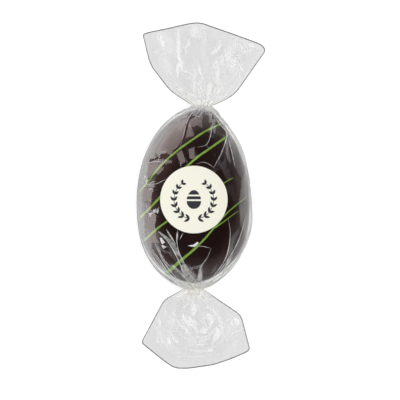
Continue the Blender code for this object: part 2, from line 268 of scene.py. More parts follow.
# The chocolate egg: half width, half height and the lengths of its pointed and its blunt half.
EGG_SIZES = (24.5, 19.3, 42.2, 34.2)
EGG_ROWS, EGG_POINTS_AROUND = 120, 160
POURED_SWELLS = ((0.006, 22, 2), (0.0025, 7, 6))  # shares of its size, over what length, and seeds

# Each run of icing: points as seen from above, and half its width at the first and the last of them.
DRIZZLE = (
    (
        ((12, 35.5), (9.4, 34.3), (4.2, 31.6), (-6.1, 24.4), (-13.6, 17.8), (-21.6, 8.1), (-25.5, 3.9)),
        0.5, 0.5,
    ),
    (((15, 30.1), (12, 28.2), (8.7, 25.8), (-2.4, 17.3), (-15, 2.9), (-26.5, -8.8)), 0.5, 0.55),
    (((17.4, 11.8), (13.6, 9.8), (-11.6, -7.1), (-21.3, -15.1), (-24.5, -17.8)), 0.15, 0.6),
    (((23.6, 4.2), (21.9, 2.7), (14.2, -3.9), (3, -16.5), (-5, -23.7), (-13.6, -31.2)), 0.12, 0.85),
    (((19.4, -2.6), (17.9, -3.6), (14.5, -6.2), (9, -10.1)), 0.12, 0.3),
)
ICING_ROWS, ICING_SIDES = 160, 12
ICING_HEIGHT = 0.6  # as a share of half its width
ICING_SWAY, ICING_SWELL = 0.04, 0.12  # off its line in millimetres, and as a share of its width

# Lamps that show only in reflections: angle from straight up and from +X in degrees, size in metres,
# radiance, colour, and how far they lean over, in degrees.
MIRRORED_LAMPS = (
    ("window_high", 70, 124, (0.76, 0.55), 1.75, "#FFEFEC"),
    ("window_narrow", 70, 157.5, (0.09, 0.55), 1.9, "#FFEFEC"),
    ("window_low", 83, 190, (0.50, 0.28), 1.0, "#FFEFEC"),
    ("window_low_glow", 79, 190, (0.54, 0.36), 0.4, "#FFEFEC"),
    ("window_end", 78, 86, (0.36, 0.30), 1.0, "#FFEFEC"),
    ("strip_right", 46, 8, (0.05, 0.6), 0.5, "#FFFFFF"),
    ("bar_high", 43, 37, (0.11, 0.34), 0.6, "#FFFFFF", 35),
    ("bar_low", 69, 25, (0.11, 0.36), 0.6, "#FFFFFF", 35),
)
WALL_GREYS = ((0.0, 0.9), (0.22, 0.7), (0.45, 0.14), (0.7, 0.05), (1.0, 0.03))  # from the horizon up
TABLE = 3000  # half its width
TABLE_GLOW = ((-75, 1.4), (-32, 0.75))  # how strongly it is lit from below, up to this x and from this x on
# The camera: how much it sees at the height of the egg's axis, and what it looks straight down on.
LENS, SENSOR_WIDTH = 400, 36
FIELD, VIEW_MIDDLE = 175.2, (2.76, 2.19)


def rounded(corners):
    """The broken line through these points with its corners cut off twice over."""
    line = np.array(corners, float)
    for reach in (1.2, 0.5):
        ahead = np.diff(line, axis=0)
        step = ahead * np.minimum(0.3, reach / np.linalg.norm(ahead, axis=1, keepdims=True))
        cuts = np.stack([line[:-1] + step, line[1:] - step], axis=1).reshape(-1, 2)
        line = np.concatenate([line[:1], cuts[1:-1], line[-1:]])
    return line


def flared_end(left, right, cut, **sizes):
    """One flared end of the film: its two sides, its cut edge and its sizes."""
    return SimpleNamespace(left=rounded(left), right=rounded(right), cut=rounded(cut), **sizes)


# The two flared ends, as seen from above. Each has the middle of its neck, how far its cut edge hangs
# under the neck, how many waves there are along that edge and how high they are, how thick it is, how
# many flaps of film cross its neck, and a seed.
POINTED_TAIL = flared_end(
    left=((0.2, 43.4), (-8.3, 48.7), (-10.8, 50.8), (-18.5, 60.8), (-19.8, 64.4), (-22, 74)),
    right=((7.4, 43.4), (10.6, 44.7), (15.9, 47.2), (18.8, 49.7), (30.9, 66.9)),
    cut=(
        (-22, 74), (-22.1, 75), (-20.6, 75.5), (-0.4, 79.9), (3.4, 79.9), (28.4, 71), (30.3, 69.8),
        (31.3, 68.3), (30.9, 66.9),
    ),
    neck=(3.8, POINTED_LENGTH),
    droop=4.5, waves=3, wave_height=0.8, thickness=3.2, flaps=18, seed=11,
)
BLUNT_TAIL = flared_end(
    left=((-3.7, -36.6), (-12.9, -41.6), (-22.1, -58.8)),
    right=((3.5, -36.6), (19.7, -47.6), (21, -49.4), (24.3, -62.2)),
    cut=(
        (-22.1, -58.8), (-22.8, -60.3), (-21.9, -61.3), (-13, -68.5), (-8.4, -71.6), (-2.6, -71.7),
        (8.5, -70.2), (15.2, -67.9), (23.2, -64.6), (24.5, -63.5), (24.3, -62.2),
    ),
    neck=(-0.1, -BLUNT_LENGTH),
    droop=5.5, waves=2.5, wave_height=0.9, thickness=3.6, flaps=20, seed=21,
)


# ---- shared shapes


def smooth_step(share):
    """From 0 to 1 with level ends."""
    share = np.clip(share, 0.0, 1.0)
    return share * share * (3 - 2 * share)


def zigzag(phase):
    """From -1 to 1 and back in straight runs, once in every turn."""
    return 2 / np.pi * np.arcsin(0.995 * np.sin(phase))


def wander(points, length, seed):
    """Smooth random values from about -1 to 1 that change over this length."""
    rng = np.random.default_rng(seed)
    total = np.zeros(len(points))
    for _ in range(7):
        direction = rng.normal(size=3)
        direction *= 2 * np.pi / (length * rng.uniform(0.7, 1.6) * np.linalg.norm(direction))
        total += np.sin(points @ direction + rng.uniform(0, 2 * np.pi))
    return total / 3


def facets(points, cell, seed):
    """Domed facets that meet in sharp valleys: the squared distance to the nearest of scattered points."""
    scaled = points / np.asarray(cell, float)
    base = np.floor(scaled)
    nearest = np.full(len(points), 9.0)
    mixers = np.array([[127.1, 311.7, 74.7], [269.5, 183.3, 246.1], [113.5, 271.9, 124.6]])
    for step in itertools.product((-1, 0, 1), repeat=3):
        corner = base + step
        jitter = np.sin(corner @ mixers.T + seed) * 43758.5453 % 1
        nearest = np.minimum(nearest, ((corner + jitter - scaled) ** 2).sum(1))
    return nearest


def crumple(points, height, cell, seed):
    """Ridges and valleys both, of this height, which may vary from point to point."""
    return height * (1.4 * (facets(points, cell, seed) - facets(points, cell, seed + 9)))


def columns(x, y, z):
    """Points from their x, y and z. A single number stands for a whole column."""
    return np.stack(np.broadcast_arrays(x, y, z), axis=1)


def unit(vectors):
    return vectors / np.linalg.norm(vectors, axis=1, keepdims=True)


def bearing(angle):
    """Directions on the table from their angles from +X, in radians."""
    return np.stack([np.cos(angle), np.sin(angle)], axis=-1)


def full_turn(count):
    """The angles of this many points spread evenly round a circle."""
    return np.arange(count) * 2 * np.pi / count


def towards(polar, azimuth):
    """A direction from its angle from straight up and its angle from +X, in degrees."""
    theta, phi = math.radians(polar), math.radians(azimuth)
    return np.array([math.sin(theta) * math.cos(phi), math.sin(theta) * math.sin(phi), math.cos(theta)])


def across_line(line):
    """Directions square to a line that is seen from above."""
    ahead = unit(np.gradient(line, axis=0))
    return np.stack([-ahead[:, 1], ahead[:, 0]], axis=1)


def along(line, share):
    """The points at these shares of a broken line's length."""
    lengths = np.concatenate(([0], np.cumsum(np.linalg.norm(np.diff(line, axis=0), axis=1))))
    at = share * lengths[-1]
    return np.stack([np.interp(at, lengths, line[:, i]) for i in range(2)], axis=1)


def smooth_line(corners, count):
    """A curve through the corners, as evenly spaced points."""
    corners = np.array(corners, float)
    corners = np.concatenate([[2 * corners[0] - corners[1]], corners, [2 * corners[-1] - corners[-2]]])
    t = np.linspace(0, 1, 12, endpoint=False)[:, None]
    runs = [
        0.5 * (2 * b + (c - a) * t + (2 * a - 5 * b + 4 * c - d) * t**2 + (3 * b - a - 3 * c + d) * t**3)
        for a, b, c, d in zip(corners, corners[1:], corners[2:], corners[3:])
    ]
    return along(np.concatenate([*runs, corners[-2:-1]]), np.linspace(0, 1, count))


def ridge(points, line, west, east):
    """1 along a line as seen from above, falling straight to 0 this far off on its -X and +X side."""
    line = np.array(line, float)
    best = np.zeros(len(points))
    lengths = np.linalg.norm(np.diff(line, axis=0), axis=1)
    before = np.concatenate(([0], np.cumsum(lengths)))
    for start, end, length, gone in zip(line, line[1:], lengths, before):
        ahead = (end - start) / length
        offset = points[:, :2] - start
        run = np.clip(offset @ ahead, 0, length)
        apart = offset - run[:, None] * ahead
        reach = np.where(apart[:, 0] < 0, west, east)
        fade = np.minimum(1, 1.4 * (1 - (gone + run) / before[-1]) + 0.15)
        best = np.maximum(best, fade * np.clip(1 - np.linalg.norm(apart, axis=1) / reach, 0, 1))
    return best


def tube(centre, outward, half_width, half_height, sides):
    """Rings of points round a line: half_height is along outward and half_width across it."""
    ahead = unit(np.gradient(centre, axis=0))
    side = unit(np.cross(ahead, outward))
    outward = np.cross(side, ahead)
    ring = full_turn(sides)
    across = side[:, None] * (half_width[:, None] * np.cos(ring))[..., None]
    return centre[:, None] + across + outward[:, None] * (half_height[:, None] * np.sin(ring))[..., None]


def taper(share, fullness):
    """How wide the egg is, from 1 at the belly, where the share is 0, to 0 at its tip."""
    return (1 - share**fullness) ** TAPER


def egg_section(y, half_width, half_height, pointed, blunt):
    """Middle, half width and half height of an egg's section at y."""
    share = np.clip(np.where(y >= 0, y / pointed, -y / blunt), 0, 1)
    round_share = taper(share, np.where(y >= 0, POINTED_FULLNESS, BLUNT_FULLNESS))
    neck = np.where(y >= 0, POINTED_TAIL.neck[0], BLUNT_TAIL.neck[0])
    return neck * share**NECK_LEAN, half_width * round_share, half_height * round_share


def new_piece(name, points, faces, material, painted_highlight=None):
    """A smooth mesh piece from points in millimetres, with a share of painted highlight for each if it is
    given.
    """
    mesh = bpy.data.meshes.new(name)
    mesh.from_pydata((np.asarray(points) * MM).tolist(), [], faces)
    mesh.shade_smooth()
    if painted_highlight is not None:
        mesh.attributes.new("painted_highlight", "FLOAT", "POINT").data.foreach_set("value", painted_highlight)
    mesh.materials.append(material)
    mesh.update()
    piece = bpy.data.objects.new(name, mesh)
    bpy.context.scene.collection.objects.link(piece)
    return piece


def dress(piece, node):
    """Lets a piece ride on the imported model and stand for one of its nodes."""
    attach(piece, "root")
    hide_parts(node)


def grid_faces(rows, columns, wrap, first=0):
    """Quads between rows of points, which close round if wrap is set."""
    faces = []
    for i in range(rows - 1):
        for j in range(columns if wrap else columns - 1):
            k = (j + 1) % columns
            a, b = first + i * columns, first + (i + 1) * columns
            faces.append((a + j, a + k, b + k, b + j))
    return faces


def joined(grids, wrap):
    """The points and faces of one mesh that holds several grids of points."""
    points, faces = [], []
    for grid in grids:
        faces += grid_faces(*grid.shape[:2], wrap, len(points))
        points.extend(grid.reshape(-1, grid.shape[2]))
    return np.array(points), faces


# ---- the film


def film_planes():
    """The flat facets that the tight film takes round the egg: each one's normal and its distance."""
    rng = np.random.default_rng(5)
    normals, distances = [], []
    for latitude in FACET_ROWS:
        start = rng.uniform(0, 2 * np.pi)
        for i in range(FACETS_ROUND):
            turn = start + 2 * np.pi * (i + rng.uniform(-0.3, 0.3)) / FACETS_ROUND
            share = math.sin(math.radians(latitude + rng.uniform(-9, 9)))
            length = POINTED_LENGTH if share > 0 else BLUNT_LENGTH
            fullness = POINTED_FULLNESS if share > 0 else BLUNT_FULLNESS
            width = taper(abs(share), fullness)
            slope = (width - taper(abs(share) + 0.001, fullness)) / (0.001 * length)
            x, z = math.cos(turn), math.sin(turn)
            touch = np.array([FILM_HALF_WIDTH * width * x, length * share, FILM_HALF_HEIGHT * width * z])
            normal = np.array([x / FILM_HALF_WIDTH, math.copysign(slope, share), z / FILM_HALF_HEIGHT])
            normal /= np.linalg.norm(normal)
            normals.append(normal)
            distances.append(touch @ normal * (1 + rng.uniform(0, 0.015)))
    return np.array(normals), np.array(distances)


def facet_stretch(spokes, y):
    """How far out the facets lie along each spoke, as a multiple of the spoke."""
    normals, distances = film_planes()
    reach = spokes @ normals.T
    room = distances - columns(0.0, y, 0.0) @ normals.T
    stretch = np.clip(np.where(reach > 1e-3, room / np.maximum(reach, 1e-3), 3.0), 0.9, 3.0)
    lowest = stretch.min(axis=1, keepdims=True)
    soft = np.exp(-EDGE_SHARPNESS * (stretch - lowest)).sum(axis=1)
    return np.clip(lowest[:, 0] - np.log(soft) / EDGE_SHARPNESS, 1.0, 1.08)


def pleats(film_angle, share, seed, pointed=True):
    """How far the gathered film stands out: sharp folds of uneven height."""
    rng = np.random.default_rng(seed)
    phase = PLEATS * film_angle
    height = 0.75
    for turns in (1, 2, 3, 5):
        phase = phase + rng.uniform(0.2, 0.6) * np.sin(turns * film_angle + rng.uniform(0, 6.3))
        height = height + 0.15 * np.sin(turns * film_angle + rng.uniform(0, 6.3))
    calm = CALM_SHARE * smooth_step(0.2 + 1.3 * np.cos(film_angle - CALM_ANGLE)) * pointed
    start = 0.35 + 0.2 * np.sin(3 * film_angle + seed)
    start = start + calm * (1 - start)
    return PLEAT_DEPTH * height * smooth_step((share - start) / (1 - start)) * zigzag(phase)


def flatten(points, on_top, corners, direction):
    """Turns the film between these corners into a facet that mirrors what lies in this direction."""
    normal = towards(*direction) + (0, 0, 1)
    middle = corners.mean(axis=0)
    inside = np.full(len(points), np.inf)
    for start, end in zip(corners, np.roll(corners, -1, axis=0)):
        across = np.array([start[1] - end[1], end[0] - start[0]]) / np.linalg.norm(end - start)
        across *= np.sign((middle - start) @ across)
        inside = np.minimum(inside, (points[:, :2] - start) @ across)
    share = on_top * smooth_step(0.5 + inside / FACET_BEND)
    apart = points[:, :2] - middle
    level = points[:, 2][np.argmin(np.linalg.norm(apart, axis=1) + 99 * ~on_top)]
    rise = level - apart @ normal[:2] / normal[2] - points[:, 2]
    points[:, 2] += share * np.clip(rise, -DEEPEST_FACET, HIGHEST_FACET)


def squareness(angle):
    """How much further out the film stands on its -X side, where it has square shoulders."""
    square = np.abs(np.cos(angle)) ** SHOULDERS + np.abs(np.sin(angle)) ** SHOULDERS
    return 1 + smooth_step(0.5 - np.cos(angle)) * (square ** (-1 / SHOULDERS) - 1)


def film_over_egg(film_angle, y):
    """The film round the egg: points for these angles and places along it."""
    middle, half_width, half_height = egg_section(y, *FILM_SIZES)
    share = np.where(y >= 0, y / POINTED_LENGTH, -y / BLUNT_LENGTH)
    angle = film_angle - PLEAT_WINDING * share**4
    spokes = columns(half_width * np.cos(angle), 0.0, half_height * np.sin(angle))
    outward = unit(columns(FILM_HALF_WIDTH * np.cos(angle), 0.0, FILM_HALF_HEIGHT * np.sin(angle)))
    slack = TIGHT + LOOSER * smooth_step(0.35 + 0.9 * np.cos(angle + math.radians(10)))
    stretch = squareness(angle) * (1 + slack * (facet_stretch(spokes, y) - 1))
    seen = np.stack([middle + spokes[:, 0], y], axis=1)
    off_label = np.linalg.norm(seen - LABEL_MIDDLE, axis=1) - LABEL_RADIUS
    free = 1 - (np.sin(angle) > 0) * (1 - smooth_step((off_label - FLAT_PAST_LABEL) / FREEING_PAST_LABEL))
    stretch = 1 + (stretch - 1) * free
    radius = np.hypot(np.linalg.norm(spokes, axis=1) * stretch, NECK_HALF_WIDTH * share**2)
    radius += pleats(film_angle, share, 3, y > 0) * free
    points = outward * radius[:, None] + columns(middle, y, AXIS_HEIGHT)
    (coarse, coarse_cell), (fine, fine_cell) = COARSE_FACETS, FINE_FACETS
    small = crumple(points, coarse * slack, coarse_cell, 1) + crumple(points, fine * slack, fine_cell, 4)
    on_top = points[:, 2] > AXIS_HEIGHT
    for line, west, east, height, _ in CREASES:
        small += height * on_top * ridge(points, line, west, east)
    points += outward * (small * free)[:, None]
    for corners, direction in FLAT_FACETS:
        flatten(points, on_top, np.array(corners), direction)
    points[:, 2] = np.maximum(points[:, 2], FILM_LOWEST)
    return points


def film_tail(tail, film_angle, share):
    """The film of a flared end: points for these angles and shares of the way to the cut edge."""
    unwound = smooth_step(3 * share)
    angle = (film_angle - PLEAT_WINDING * (1 - unwound)) % (2 * np.pi)
    upper = np.sin(angle)
    round_width = (1 + np.cos(angle)) / 2
    flat_width = 1 - np.where(angle <= np.pi, angle, 2 * np.pi - angle) / np.pi
    across = round_width + (flat_width - round_width) * smooth_step(2 * share)
    left, right = along(tail.left, share), along(tail.right, share)
    corners = tail.left[-1] + across[:, None] * (tail.right[-1] - tail.left[-1])
    seen = left + across[:, None] * (right - left)
    seen = seen + (share**2)[:, None] * (along(tail.cut, across) - corners)
    edge = np.sqrt(np.clip(4 * across * (1 - across), 0, 1))
    puff = np.sin(np.pi * np.minimum(share, 0.8) / 1.6) * (1 - 0.8 * share)
    gap = NECK_HALF_WIDTH * (1 - share) ** 3 * edge + tail.thickness / 2 * puff * edge
    middle = AXIS_HEIGHT - tail.droop * share**2
    middle = middle + tail.wave_height * share * np.sin(2 * np.pi * tail.waves * across + 1)
    folds = zigzag(2 * np.pi * TAIL_FOLDS * across + 2 * np.sin(5 * across + tail.seed))
    folds = folds * np.sin(np.pi * share**0.7)
    middle = middle + TAIL_FOLD_HEIGHT * folds * (1 - 0.5 * share)
    gathered = pleats(film_angle, 1, tail.seed) * (1 - unwound)
    flat = np.column_stack([seen, 30 * np.sign(upper)])
    small = crumple(flat, *TAIL_COARSE_FACETS, tail.seed) + crumple(flat, *TAIL_FINE_FACETS, tail.seed + 2)
    height = middle + gap * np.sign(upper) + gathered * upper + small * smooth_step(4 * share)
    return np.column_stack([seen, height])


def film_angles():
    """Where the film's points lie round it: closer together on top than underneath."""
    even = np.linspace(0, 2 * np.pi, 3000)
    density = np.pi * (POINTS_ON_TOP / POINTS_AROUND - 0.5)
    place = even + density * (1 - np.cos(even))
    return np.interp(full_turn(POINTS_AROUND), place, even)


def make_film():
    """One tube of clear film: blunt tail, egg, pointed tail. Returns the rows of its points."""
    turns = film_angles()
    blunt, pointed = (
        [film_tail(tail, turns, np.full(POINTS_AROUND, share)) for share in TAIL_SHARES]
        for tail in (BLUNT_TAIL, POINTED_TAIL)
    )
    back = -BLUNT_LENGTH * np.sin(np.pi / 2 * np.arange(ROWS_BLUNT, 0, -1) / ROWS_BLUNT)
    front = POINTED_LENGTH * np.sin(np.pi / 2 * np.arange(ROWS_POINTED + 1) / ROWS_POINTED)
    body = np.concatenate([back, front])
    points = film_over_egg(np.tile(turns, len(body)), np.repeat(body, POINTS_AROUND))
    rows = np.array([*blunt[::-1], *points.reshape(-1, POINTS_AROUND, 3), *pointed])
    points, faces = joined([rows], True)
    dress(new_piece("film", points, faces, clear_film()), "wrapper")
    return rows, BVHTree.FromPolygons(points.tolist(), faces)


def lay_on(surface, seen):
    """Points on the film's top side under points seen from above, or None if one misses the film."""
    hits = [surface.ray_cast((x, y, 100), (0, 0, -1))[0] for x, y in seen]
    return None if None in hits else np.array(hits)


def fold(surface, seen, half_width, height, most=1.0):
    """Points over a sharp fold that stands up from the film: rows of x, y, z and painted highlight share.

    A fold that runs off the film is left out.
    """
    share = np.linspace(0, 1, len(seen))
    taper_out = np.sqrt(np.clip(np.sin(np.pi * (0.04 + 0.92 * share)), 0, 1))
    side = across_line(seen)
    rows = []
    for offset, rise, painted_highlight in ((-1, 0, 0), (-0.45, 0.7, 0.8), (0, 1, 1), (0.45, 0.7, 0.8), (1, 0, 0)):
        points = lay_on(surface, seen + side * (offset * half_width * taper_out)[:, None])
        if points is None:
            return None
        points[:, 2] += rise * height * taper_out + FOLD_CLEARANCE
        rows.append(np.column_stack([points, most * painted_highlight * taper_out]))
    return np.stack(rows, axis=1)


def white_glint_plate(surface, corners, most):
    """Points over a flat plate on the film between these corners, with their share of white: a painted
    glint.
    """
    corners = np.array(corners, float)
    outline = along(np.concatenate([corners, corners[:1]]), np.linspace(0, 1, 60, endpoint=False))
    middle = outline.mean(axis=0)
    rows = []
    for scale, rise, painted_highlight in ((1, 0.0, 0), (0.86, 0.06, 1), (0.5, 0.06, 1), (0.02, 0.06, 1)):
        points = lay_on(surface, middle + scale * (outline - middle))
        points[:, 2] += rise + FOLD_CLEARANCE
        rows.append(np.column_stack([points, np.full(len(points), most * painted_highlight)]))
    return np.stack(rows)


def wrinkle_lines():
    """Lines of the short wrinkles in the flared ends, with their half widths."""
    for middle, reach, count, swirl, seed in WRINKLE_PATCHES:
        rng = np.random.default_rng(seed)
        neck = (POINTED_TAIL if middle[1] > 0 else BLUNT_TAIL).neck
        for _ in range(count):
            turn, out = rng.uniform(0, 2 * np.pi), math.sqrt(rng.uniform(0.02, 1))
            place = np.array(middle) + out * np.array(reach) * bearing(turn)
            away = math.atan2(place[1] - neck[1], place[0] - neck[0])
            heading = away + swirl * (turn + np.pi / 2 - away) + rng.normal(0, 0.35)
            length = rng.uniform(*WRINKLE_LENGTHS)
            bend = rng.normal(0, 0.10) + swirl * 0.08
            steps = np.linspace(-0.5, 0.5, 9) * length
            path = np.cumsum(bearing(heading + bend * steps), axis=0) * length / 8
            yield place + path - path[4], rng.uniform(*WRINKLE_HALF_WIDTHS)


def make_folds(surface):
    """The sharp folds on the film's top side with painted highlights along them, and the painted glints."""
    folds = []
    for line, _, _, _, width in CREASES:
        folds.append(fold(surface, smooth_line(line, 60), width, CREASE_HEIGHT * width))
    for line, width, most in TAIL_CREASES:
        wide, height = TAIL_CREASE_WIDENING * width, TAIL_CREASE_HEIGHT * width
        folds.append(fold(surface, smooth_line(line, 40), wide, height, most))
    for line, width in wrinkle_lines():
        folds.append(fold(surface, smooth_line(line, 20), width, WRINKLE_HEIGHT * width, WRINKLE_PAINTED_HIGHLIGHT))
    points, faces = joined([grid for grid in folds if grid is not None], False)
    # Flat plates painted white: painted glints on the film.
    plates, plate_faces = joined([white_glint_plate(surface, *row) for row in PAINTED_GLINT_PLATES], True)
    faces += [tuple(len(points) + v for v in face) for face in plate_faces]
    points = np.concatenate([points, plates])
    piece = new_piece("film_folds_painted_highlights", points[:, :3], faces, creased_film_painted_highlights(), points[:, 3])
    dress(piece, "wrapper")


def make_edges(rows):
    """The film's cut edges and the folded sides of its flared ends, which show as a fine line."""
    winding = PLEAT_WINDING * (1 - smooth_step(3 * TAIL_SHARES))
    turns = film_angles()
    tubes = []
    for tail_rows in (rows[:ROWS_TAIL][::-1], rows[-ROWS_TAIL:]):
        lines = [np.concatenate([tail_rows[-1], tail_rows[-1][:1]])]
        for side in (0, np.pi):
            nearest = [np.argmin(np.abs(turns - side - turn)) for turn in winding]
            lines.append(tail_rows[np.arange(ROWS_TAIL), nearest][2:])
        for line in lines:
            radius = np.full(len(line), EDGE_RADIUS)
            tubes.append(tube(line, columns(0.0, 0.0, np.ones(len(line))), radius, radius, 6))
    dress(new_piece("film_edges", *joined(tubes, True), film_edge()), "wrapper")


def pleat_flap(tail, start, reach, half_width, lift, into_tail):
    """Rows of points over a flap of gathered film that crosses a neck."""
    neck, end = tail.neck
    over_body = end * np.sin(np.pi / 2 * np.linspace(1 - reach, 1, 34))
    over_tail = into_tail * np.linspace(0.02, 1, 14)
    roundness = np.sqrt(1 - (over_body / end) ** 2)
    body_width = half_width * (0.35 + 0.65 * roundness) / (FILM_HALF_WIDTH * roundness + NECK_HALF_WIDTH)
    tail_width = half_width * 0.35 / NECK_HALF_WIDTH * (1 - 0.7 * over_tail / into_tail)
    rows = []
    for offset, rise in ((-1, 0.0), (-0.5, 0.55), (0, 0.9), (0.45, 1.0), (0.6, 0.35)):
        body = film_over_egg(start + offset * body_width, over_body)
        line = np.concatenate([body, film_tail(tail, start + offset * tail_width, over_tail)])
        height = lift * np.sin(np.pi * np.linspace(0.02, 0.98, len(line))) ** 0.6
        height[len(body) :] *= 1 - 0.75 * smooth_step(3 * over_tail / into_tail)
        outward = unit(line - columns(neck, line[:, 1], AXIS_HEIGHT))
        rows.append(line + outward * (0.06 + rise * height)[:, None])
    return np.stack(rows, axis=1)


def make_pleats():
    """Flaps of gathered film at the two necks, all round, that run out over the egg and the tail."""
    grids = []
    for tail in (POINTED_TAIL, BLUNT_TAIL):
        end = math.copysign(1, tail.neck[1])
        rng = np.random.default_rng(tail.seed)
        for i in range(tail.flaps):
            start = 2 * np.pi * (i + rng.uniform(-0.35, 0.35)) / tail.flaps
            reach = rng.uniform(*(SHORT_REACH if rng.uniform() < SHORT_FLAPS else LONG_REACH))
            if end > 0 and math.cos(start - CALM_ANGLE) > 0:
                reach = min(reach, CALM_REACH)
            sizes = [rng.uniform(*span) for span in FLAP_SPANS]
            grids.append(pleat_flap(tail, start, reach, *sizes))
        for which_end, degrees, *sizes in LONG_PLEATS:
            if which_end == end:
                grids.append(pleat_flap(tail, math.radians(degrees), *sizes, LONG_PLEATS_INTO_TAIL))
    dress(new_piece("film_pleats", *joined(grids, False), gathered_film()), "wrapper")


# ---- the egg and its icing


def egg_surface(angle, y):
    """Points on the chocolate, which is poured and so a little uneven."""
    middle, half_width, half_height = egg_section(y, *EGG_SIZES)
    across, up = half_width * np.cos(angle), half_height * np.sin(angle)
    points = columns(middle + across, y, AXIS_HEIGHT + up)
    bulge = 1
    for swell, length, seed in POURED_SWELLS:
        bulge = bulge + swell * wander(points, length, seed)
    return columns(middle + across * bulge, y, np.maximum(AXIS_HEIGHT + up * bulge, EGG_LOWEST))


def make_egg():
    turns = full_turn(EGG_POINTS_AROUND)
    steps = np.sin(np.pi / 2 * np.linspace(-1, 1, EGG_ROWS))
    y = steps * np.where(steps >= 0, EGG_SIZES[2], EGG_SIZES[3])
    points = egg_surface(np.tile(turns, EGG_ROWS), np.repeat(y, EGG_POINTS_AROUND))
    egg = new_piece("chocolate_egg", points, grid_faces(EGG_ROWS, EGG_POINTS_AROUND, True), dark_chocolate())
    weld(egg)
    dress(egg, "wrapper")


def weld(piece):
    """Joins the points that fall together, such as those at the egg's two tips."""
    mesh = bmesh.new()
    mesh.from_mesh(piece.data)
    bmesh.ops.remove_doubles(mesh, verts=mesh.verts, dist=0.00001)
    mesh.to_mesh(piece.data)
    mesh.free()


def over_egg(seen):
    """The chocolate under points seen from above. Past the egg's side the line runs on down it."""
    middle, half_width, _ = egg_section(seen[:, 1], *EGG_SIZES)
    across = (seen[:, 0] - middle) / np.maximum(half_width, 1)
    near = np.clip(across, -0.95, 0.95)
    angle = np.arccos(near) - (across - near) / math.sqrt(1 - 0.95**2)
    return egg_surface(angle, seen[:, 1])


def make_icing():
    points, faces = [], []
    share = np.linspace(0, 1, ICING_ROWS)
    for number, (corners, first, last) in enumerate(DRIZZLE):
        seen = smooth_line(corners, ICING_ROWS)
        noise = np.column_stack([seen, np.full(ICING_ROWS, 40.0 * number)])
        seen = seen + ICING_SWAY * np.stack([wander(noise, 9, 31), wander(noise, 9, 32)], axis=1)
        centre = over_egg(seen)
        outward = centre - columns(0.0, seen[:, 1] * 0.5, AXIS_HEIGHT)
        half = (first + (last - first) * share) * (1 + ICING_SWELL * wander(noise, 5, 33))
        half = half * np.sqrt(np.clip(np.minimum(share, 1 - share) * 40, 0.02, 1))
        start, end = len(points), len(points) + ICING_ROWS * ICING_SIDES
        points.extend(tube(centre, outward, half, ICING_HEIGHT * half, ICING_SIDES).reshape(-1, 3))
        faces += grid_faces(ICING_ROWS, ICING_SIDES, True, start)
        faces += [tuple(range(start, start + ICING_SIDES)), tuple(range(end - ICING_SIDES, end))[::-1]]
    dress(new_piece("icing_drizzle", points, faces, green_icing()), "wrapper")


# ---- the label


def label_height(seen):
    """The label's underside over points seen from above: it follows the film that it is stuck to."""
    _, half_width, half_height = egg_section(seen[:, 1], *FILM_SIZES)
    return AXIS_HEIGHT + half_height * np.sqrt(1 - (seen[:, 0] / half_width) ** 2) + LABEL_GAP


def make_label():
    circle = bearing(full_turn(LABEL_SPOKES))
    radii = LABEL_RADIUS * np.linspace(0.02, 1, LABEL_RINGS)
    seen = LABEL_MIDDLE + (radii[:, None, None] * circle).reshape(-1, 2)
    top = np.column_stack([seen, label_height(seen) + LABEL_THICKNESS])
    under = np.column_stack([seen, label_height(seen)])
    count = len(top)
    faces = [f[::-1] for f in grid_faces(LABEL_RINGS, LABEL_SPOKES, True)]
    faces.append(tuple(range(LABEL_SPOKES)))
    faces += [tuple(count + v for v in reversed(f)) for f in faces]
    rim = count - LABEL_SPOKES
    for i in range(LABEL_SPOKES):
        j = (i + 1) % LABEL_SPOKES
        faces.append((rim + i, count + rim + i, count + rim + j, rim + j))
    label = new_piece("paper_label", np.concatenate([top, under]), faces, label_paper())
    label.data.set_sharp_from_angle(angle=math.radians(40))
    dress(label, "label")


def wreath_patches():
    """Leaves in pairs along two sprigs, and the stems: middle lines, half widths and points across."""
    share = np.linspace(0, 1, 9)
    turns = np.radians(np.linspace(SPRIG_FROM, SPRIG_TO, LEAVES))
    for side in (-1, 1):
        for number, turn in enumerate(turns):
            foot = LABEL_MIDDLE + WREATH_RADIUS * bearing(turn) * (side, 1)
            for lean in (-LEAF_LEAN, LEAF_LEAN):
                reach = LEAF_LENGTH * (1 - 0.04 * number) * share[:, None]
                line = foot + bearing(turn + np.pi / 2 + lean) * (side, 1) * reach
                yield line, LEAF_HALF_WIDTH * np.sin(np.pi * share**0.85), 3
        stem = bearing(np.linspace(turns[0], turns[-1], 40)) * (side, 1)
        yield LABEL_MIDDLE + WREATH_RADIUS * stem, np.full(len(stem), STEM_HALF_WIDTH), 2


def egg_patches():
    """Three bands of a small egg, with a gap of bare paper between them."""
    for low, high in PRINTED_BANDS:
        up = np.linspace(low, high, 24)
        line = LABEL_MIDDLE + np.stack([np.zeros_like(up), PRINTED_EGG[1] * up], axis=1)
        yield line, PRINTED_EGG[0] * np.sqrt(np.clip(1 - up**2, 0, 1)) * (1 - 0.14 * up), 15


def make_label_print():
    """A plain sign for a sweet egg, printed on the label: an egg between two leafy sprigs."""
    grids = []
    for line, half_width, points_across in itertools.chain(wreath_patches(), egg_patches()):
        spread = np.linspace(-1, 1, points_across)[None, :, None]
        seen = line[:, None] + across_line(line)[:, None] * half_width[:, None, None] * spread
        height = label_height(seen.reshape(-1, 2)).reshape(len(line), points_across)
        grids.append(np.dstack([seen, height + LABEL_THICKNESS + INK_HEIGHT]))
    dress(new_piece("label_print", *joined(grids, False), printing_ink()), "label")


# ---- finishes


def linear(hex_colour):
    """A hex sRGB colour as linear red, green, blue and alpha."""
    values = [int(hex_colour[i : i + 2], 16) / 255 for i in (1, 3, 5)]
    return (*(v / 12.92 if v <= 0.04045 else ((v + 0.055) / 1.055) ** 2.4 for v in values), 1.0)


